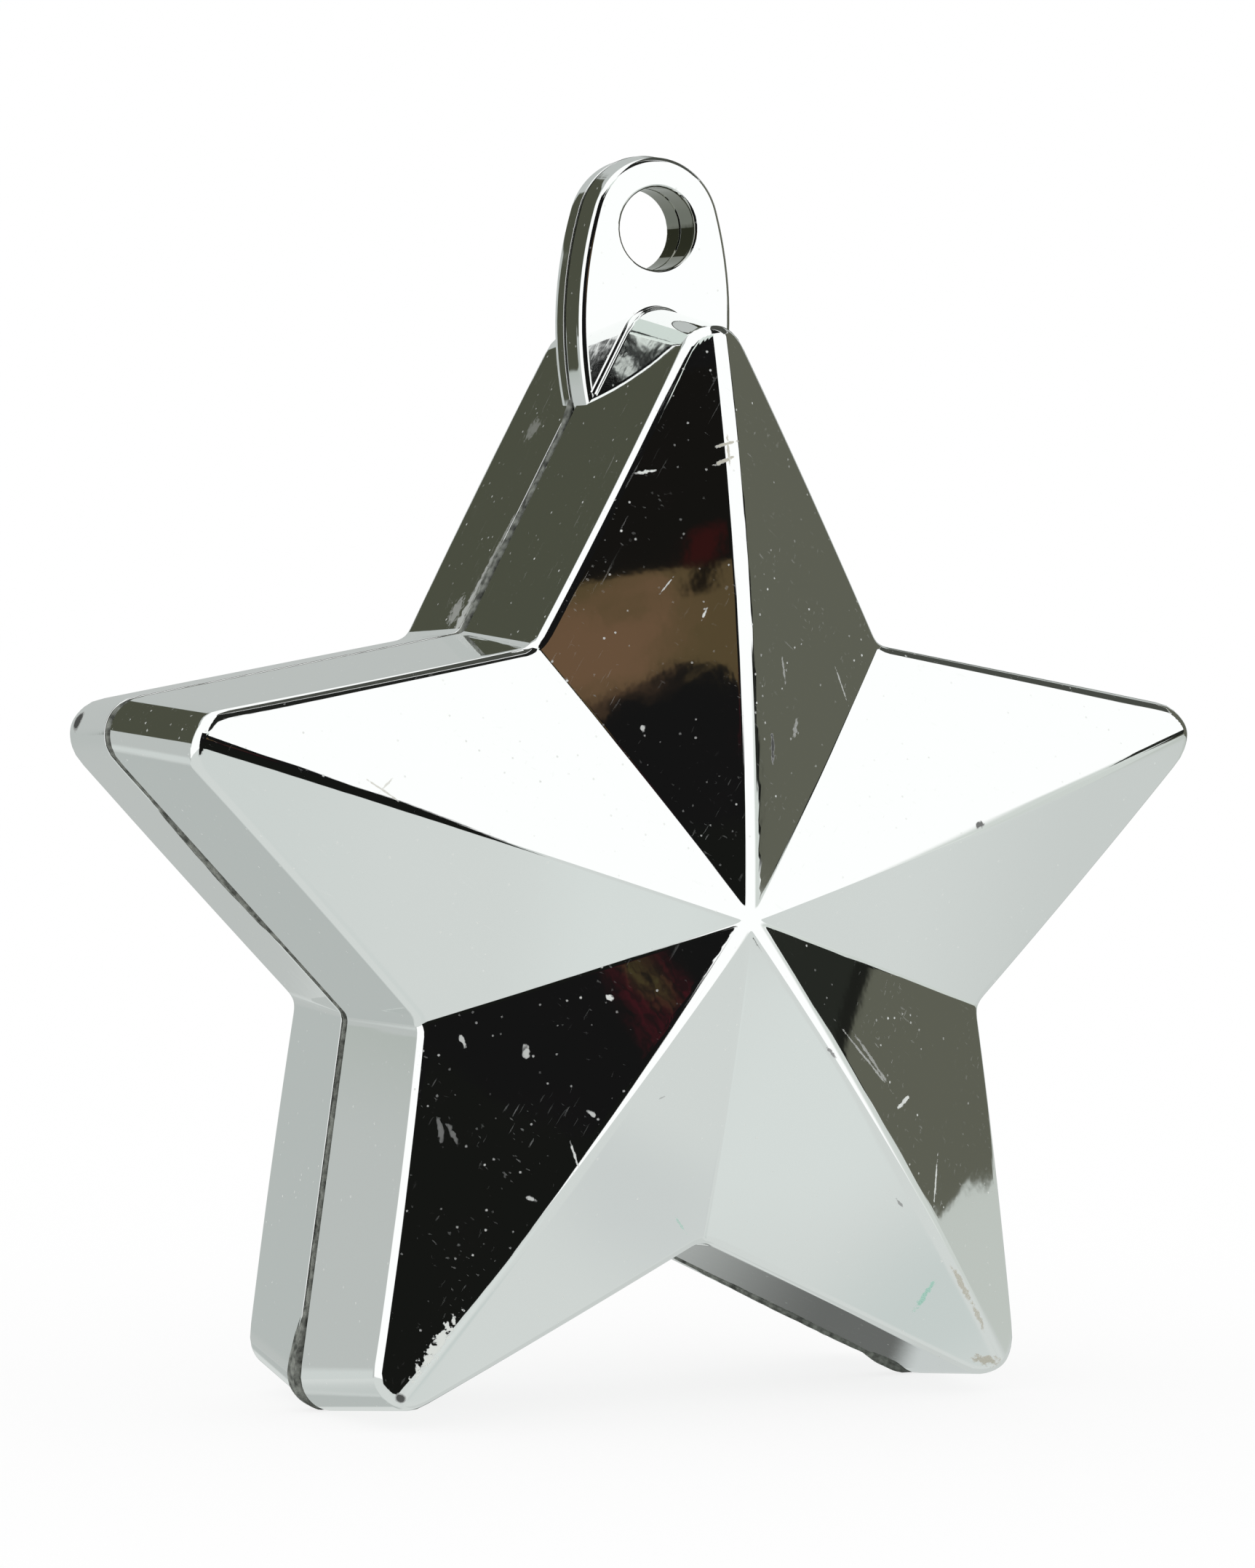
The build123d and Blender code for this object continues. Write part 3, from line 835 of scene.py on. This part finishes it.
# What the mirror sees: a round room hung with cards, seen only in reflections. Azimuths are degrees from
# the front towards the right, or from the back towards the left. Heights are millimetres above the paper,
# and run on inward across the room's floor. Soft and torn edges are given across, then up. A later card
# hangs in front of an earlier one
room = {
    "radius": 300.0,
    "floor": -60.0,
    "top": 1500.0,
    "hex": "#ffffff",
    "sides": 180,
    "glow": 1.05,            # makes up for what the plating takes
    "teeth": (1.7, 26.0),    # degrees and mm between the teeth of a torn edge
    "tear": 4.0,             # times a card's own torn width, because the noise keeps near its middle
    "patch": 0.14,           # share of a tooth, the size of the flecks on a patchy card
    "fleck": (0.42, 0.62),   # where a fleck begins, and where it is full
}
cards = {
    # floor cards are painted shade: the white paper floor as the plating sees it, grey, in lighter and darker
    # patches
    "greyShadedFloor": {"az": (-200, 200), "up": (-400, -55), "soft": (1, 3), "hex": "#d0d4d2"},
    "floorLeft": {"az": (-60, -22), "up": (-400, -61), "soft": (9, 3), "hex": "#ccd1cf"},
    "floorMiddle": {"az": (-2, 16), "up": (-270, -170), "soft": (6, 20), "hex": "#d5dad8"},
    "floorNear": {"az": (20, 38), "up": (-310, -264), "soft": (7, 14), "hex": "#c5ccca"},
    "floorSpot": {"az": (51, 61), "up": (-262, -222), "soft": (4, 16), "hex": "#c9cdcc"},
    "floorShade": {"side": "back", "az": (4, 36), "up": (-330, -70), "soft": (3, 14), "hex": "#b2b7b5"},
    "footShade": {"side": "back", "az": (37, 50), "up": (-400, -190), "soft": (3, 70), "hex": "#c0c5c3"},
    "tableShade": {"side": "back", "az": (-60, -21.5), "up": (-300, -180), "soft": (7, 12), "hex": "#646664"},
    "footLight": {"side": "back", "az": (-60, -32.2), "up": (-300, -150), "soft": (0.8, 12),
        "hex": "#c2c7c6"},
    "darkStand": {"az": (-66, 0.8), "up": (-146, 92), "soft": (1.2, 8), "torn": (1.6, 10), "hex": "#151614"},
    "darkFold": {"az": (-30, -3.6), "up": (80, 150), "soft": (0.8, 8), "torn": (0.6, 4), "hex": "#141414"},
    "darkCloth": {"az": (-66, -6.45), "up": (60, 332), "soft": (0.1, 4), "torn": (0, 4), "hex": "#141414"},
    "brownShelf": {"az": (-20.5, -12.5), "up": (114, 175), "soft": (0.25, 2), "torn": (0, 11),
        "hex": "#52452f"},
    "brownGlow": {"az": (-20.5, -16.6), "up": (114, 147), "soft": (0.9, 9), "torn": (0.5, 11),
        "hex": "#664f3b"},
    "darkAbove": {"az": (-22, -11), "up": (156.5, 240), "soft": (0.5, 1.5), "torn": (0, 1), "hex": "#141311"},
    "darkKnob": {"az": (-16.5, -15.9), "up": (146, 160), "soft": (0.2, 2), "hex": "#15120f"},
    "redLamp": {"az": (-16.9, -16.0), "up": (157, 171), "soft": (0.25, 3), "hex": "#2f1312"},
    "redCloth": {"az": (-13.4, -9.4), "up": (88, 114), "soft": (0.6, 5), "torn": (0.4, 5), "patchy": True,
        "hex": "#40171d"},
    "mossCloth": {"az": (-12.6, -10.4), "up": (104, 112), "soft": (0.4, 3), "torn": (0.4, 4), "patchy": True,
        "hex": "#433f26"},
    "paleFrame": {"az": (-23.55, -21.8), "up": (238.3, 330), "soft": (0.12, 0.9), "hex": "#eef3ee"},
    "paleTop": {"az": (-21.8, -4.4), "up": (259, 350), "soft": (0.3, 1.5), "hex": "#d3dbd6"},
    "paleSide": {"az": (-26, -21.5), "up": (244.3, 350), "soft": (0.2, 0.8), "hex": "#dde4df"},
    "paleBlob": {"az": (-23.75, -23.35), "up": (233.2, 235.3), "soft": (0.12, 0.7), "hex": "#f2f6f2"},
    "paleLow": {"az": (46, 66), "up": (-60, 90), "soft": (5, 25), "hex": "#cfd4d0"},
    "paleSkirting": {"az": (66, 160), "up": (-60, 20), "soft": (1, 1.2), "torn": (0, 5), "hex": "#bdc2bd"},
    "floorRight": {"az": (66, 140), "up": (-400, -36), "soft": (9, 20), "hex": "#c7cbc9"},
    "wallEdge": {"az": (60.6, 64.4), "up": (37, 262), "soft": (0.5, 3), "lean": 0.045, "hex": "#1c1d1a"},
    "oliveWall": {"az": (63.6, 128), "up": (12, 262), "soft": (0.3, 1.5), "torn": (0, 5), "lean": 0.045,
        "hex": "#5d5e53"},
    "darkDoor": {"az": (57, 65.8), "up": (61.5, 104), "soft": (0.3, 2), "torn": (0.8, 3), "hex": "#252723"},
    "paleCorner": {"az": (56, 69.3), "up": (-60, 28), "soft": (1, 4), "hex": "#cbd0cc"},
    "greyBack": {"side": "back", "az": (-60, 58), "up": (-75, 420), "soft": (3, 22), "hex": "#b8bcba"},
    "backGlow": {"side": "back", "az": (36, 43.5), "up": (-90, -22), "soft": (2, 16), "hex": "#cbd0ce"},
    "backShade": {"side": "back", "az": (12, 28), "up": (-30, 60), "soft": (4, 15), "hex": "#b3b8b6"},
    "backUpper": {"side": "back", "az": (33, 44), "up": (40, 70), "soft": (3, 12), "hex": "#adb3ae"},
    "oliveBack": {"side": "back", "az": (12.9, 52), "up": (90, 308), "soft": (0.9, 3), "torn": (0, 3),
        "hex": "#4a4c40"},
    "oliveTip": {"side": "back", "az": (44.5, 52), "up": (80, 120), "soft": (0.9, 2), "torn": (0, 2),
        "hex": "#4a4c40"},
    "oliveHigh": {"side": "back", "az": (2, 16), "up": (138, 308), "soft": (0.9, 3), "torn": (0, 3),
        "hex": "#4a4c40"},
    "oliveTab": {"side": "back", "az": (27, 43.5), "up": (51, 100), "soft": (0.8, 2), "torn": (0, 3),
        "hex": "#4a4c40"},
    "oliveTabBack": {"side": "back", "az": (13.2, 18), "up": (44, 100), "soft": (0.5, 2), "torn": (0, 3),
        "hex": "#4a4c40"},
    "darkBack": {"side": "back", "az": (-46, -27), "up": (100, 300), "soft": (1.5, 5), "torn": (0, 3),
        "hex": "#484a40"},
    "lampBar": {"az": (-14, 54), "up": (405, 1600), "soft": (2, 12), "torn": (2, 12), "hex": "#20211f"},
    "darkCeiling": {"az": (62, 150), "up": (266, 1600), "soft": (2, 7), "hex": "#474944"},
}


def roomPlaces(tree):       # azimuth from either side, and height up the wall
    place = addNode(tree, "NewGeometry").outputs["Position"]
    east, north, up = addNode(tree, "SeparateXYZ", {0: place}).outputs
    south = addNode(tree, "Math", {0: north, 1: -1.0}, operation="MULTIPLY")
    west = addNode(tree, "Math", {0: east, 1: -1.0}, operation="MULTIPLY")
    azimuth = {}
    for side, (y, x) in {"front": (east, south), "back": (west, north)}.items():
        turn = addNode(tree, "Math", {0: y, 1: x}, operation="ARCTAN2")
        azimuth[side] = addNode(tree, "Math", {0: turn, 1: 180 / math.pi}, operation="MULTIPLY")
    flat = addNode(tree, "CombineXYZ", {0: east, 1: north})
    reach = addNode(tree, "VectorMath", {0: flat}, operation="LENGTH").outputs["Value"]
    rise = addNode(tree, "Math", {0: up, 1: reach}, operation="ADD")
    height = addNode(tree, "Math", {0: rise, 1: 1 / mm, 2: -room["radius"]}, operation="MULTIPLY_ADD")
    return azimuth, height


def paintedRoom():
    material, tree = newMaterial("roomCards")
    azimuth, height = roomPlaces(tree)
    teeth = [addNode(tree, "Math", {0: value, 1: size}, operation="DIVIDE")
             for value, size in zip((azimuth["front"], height), room["teeth"])]
    teeth = addNode(tree, "CombineXYZ", {0: teeth[0], 1: teeth[1]})
    torn = addNode(tree, "TexNoise", {
        "Vector": teeth, "Scale": 1.0, "Detail": 3.0, "Roughness": 0.6}).outputs["Color"]
    shifts = addNode(tree, "VectorMath", {0: torn, 1: (0.5, 0.5, 0.5)}, operation="SUBTRACT")
    shifts = addNode(tree, "SeparateXYZ", {0: shifts}).outputs
    flecks = addNode(tree, "TexNoise", {"Vector": teeth, "Scale": 1 / room["patch"], "Detail": 2.0})
    low, high = room["fleck"]
    flecks = addNode(tree, "MapRange", {"Value": flecks, "From Min": low, "From Max": high})
    colour = toLinear(room["hex"])
    for name, card in cards.items():
        mask = 1.0
        across = azimuth[card.get("side", "front")]
        if "lean" in card:
            across = addNode(tree, "Math", {0: height, 1: -card["lean"], 2: across}, operation="MULTIPLY_ADD")
        for k, value, limits in ((0, across, card["az"]), (1, height, card["up"])):
            soft, ragged = card["soft"][k], card.get("torn", (0, 0))[k]
            if ragged:
                value = addNode(tree, "Math", {
                    0: shifts[k], 1: room["tear"] * ragged, 2: value}, operation="MULTIPLY_ADD")
            for limit, (low, high) in zip(limits, ((0.0, 1.0), (1.0, 0.0))):
                step = addNode(tree, "MapRange", {
                    "Value": value, "From Min": limit - soft, "From Max": limit + soft,
                    "To Min": low, "To Max": high}, interpolation_type="SMOOTHSTEP")
                mask = addNode(tree, "Math", {0: step, 1: mask}, operation="MULTIPLY")
        if "patchy" in card:
            mask = addNode(tree, "Math", {0: flecks, 1: mask}, operation="MULTIPLY")
        colour = addNode(tree, "Mix", {
            0: mask, 6: colour, 7: toLinear(card["hex"])}, data_type="RGBA", label=name).outputs[2]
    light = addNode(tree, "Emission", {"Color": colour, "Strength": room["glow"]})
    addNode(tree, "OutputMaterial", {"Surface": light})
    return material


def makeRoom():
    wide, low, high, around = room["radius"], room["floor"], room["top"], room["sides"]
    profile = [(0, low), (wide / 2, low), (wide, low), (wide, high), (0, high)]
    points, faces = [], []
    for r, z in profile:
        for k in range(around):
            turn = 2 * math.pi * k / around
            points.append((r * math.cos(turn) * mm, r * math.sin(turn) * mm, z * mm))
    for row in range(len(profile) - 1):
        faces += quads(row, row + 1, around)
    wall = newObject("reflectedRoom", points, faces)
    wall.data.materials.append(paintedRoom())
    wall.visible_camera = wall.visible_diffuse = wall.visible_shadow = wall.visible_transmission = False


makeRoom()
print("room", len(cards), "cards")


# White paper: the camera sees it mostly as plain white, with a faint share of the object's shadow
paper = {
    "hex": "#ffffff",
    "reach": 3.0,            # metres from the middle to an edge
    "plain": 0.8,            # share of it that the camera sees as plain white
}


def makeFloor():
    material, tree = newMaterial("whitePaperSweep")
    lit = addNode(tree, "BsdfDiffuse", {"Color": toLinear(paper["hex"])})
    plain = addNode(tree, "Emission", {"Color": toLinear(paper["hex"]), "Strength": 1.0})
    seen = addNode(tree, "LightPath").outputs["Is Camera Ray"]
    share = addNode(tree, "Math", {0: seen, 1: paper["plain"]}, operation="MULTIPLY")
    surface = addNode(tree, "MixShader", {0: share, 1: lit, 2: plain})
    addNode(tree, "OutputMaterial", {"Surface": surface})
    r = paper["reach"]
    floor = newObject("studioFloor", [(-r, -r, 0), (r, -r, 0), (r, r, 0), (-r, r, 0)], [(0, 1, 2, 3)])
    floor.data.materials.append(material)
    floor.visible_glossy = False        # the plating shows the cards instead


makeFloor()
print("floor")

world = bpy.data.worlds.new("studioLight")
world.use_nodes = True
bpy.context.scene.world = world
sky = world.node_tree.nodes["Background"]
sky.inputs["Color"].default_value = toLinear("#ffffff")
sky.inputs["Strength"].default_value = 1.0

# Camera: fitted to the photograph, about half a metre away, a little to the left of the star's front
camera = {
    "at": (-221.4, -435.768, 72.067),
    "yaw": 26.833,
    "pitch": 2.594,
    "roll": -0.566,
    "focal": 8219.28,        # in the photograph's pixels
    "longSide": 2156,
    "sensor": 36.0,          # mm
    "clip": (0.01, 20.0),    # metres
}


def makeCamera():
    data = bpy.data.cameras.new("photoCamera")
    data.sensor_width = camera["sensor"]
    data.lens = camera["focal"] * camera["sensor"] / camera["longSide"]
    data.clip_start, data.clip_end = camera["clip"]
    eye = bpy.data.objects.new("photoCamera", data)
    bpy.context.scene.collection.objects.link(eye)
    yaw, pitch, roll = (math.radians(camera[k]) for k in ("yaw", "pitch", "roll"))
    turn = Matrix.Rotation(roll, 3, "Z") @ Matrix.Rotation(pitch, 3, "X") @ Matrix.Rotation(yaw, 3, "Y")
    upright = Matrix(((1, 0, 0), (0, 0, -1), (0, 1, 0)))
    eye.matrix_world = Matrix.Translation(Vector(camera["at"]) * mm) @ (upright @ turn.transposed()).to_4x4()
    bpy.context.scene.camera = eye


makeCamera()
print("camera")
bpy.context.scene.view_settings.view_transform = "Standard"
